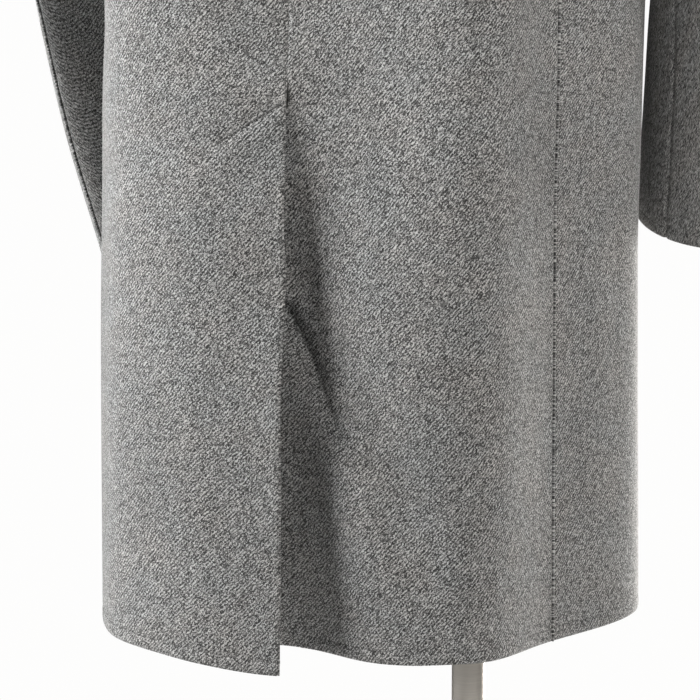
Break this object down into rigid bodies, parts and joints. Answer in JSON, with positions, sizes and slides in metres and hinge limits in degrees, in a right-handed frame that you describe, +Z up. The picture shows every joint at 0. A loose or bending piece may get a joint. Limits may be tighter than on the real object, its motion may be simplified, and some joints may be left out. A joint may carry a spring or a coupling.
{
  "type": "chesterfield coat and dress form stand",
  "caption": "Grey wool twill overcoat with centre-back vent, notched collar and flap pockets, standing on a limbless dress form with a steel pole and round base.",
  "frame": {"origin": "centre of the round base, on its underside, where it stands on the floor", "axes": "+Z up along the pole, the coat's front faces -Y, the wearer's left is +X"},
  "size_m": [0.6534, 0.416, 1.551],
  "materials": {
    "wool_twill": "milled wool twill, salt-and-pepper grey, slight nap",
    "button": "satin dark horn",
    "form_cover": "plain stretched cover",
    "satin_steel": "satin, slightly warm"
  },
  "bodies": {
    "root": {"back_left": "wool_twill", "back_right": "wool_twill", "front_left": "wool_twill", "front_right": "wool_twill", "lapel_left": "wool_twill", "lapel_right": "wool_twill", "collar": "wool_twill", "top_sleeve_left": "wool_twill", "top_sleeve_right": "wool_twill", "under_sleeve_left": "wool_twill", "under_sleeve_right": "wool_twill", "flap_left": "wool_twill", "flap_right": "wool_twill", "button_1": "button", "button_2": "button", "button_3": "button", "form_torso": "form_cover", "form_flange": "satin_steel", "form_pole": "satin_steel", "form_base": "satin_steel"}
  },
  "joints": []
}
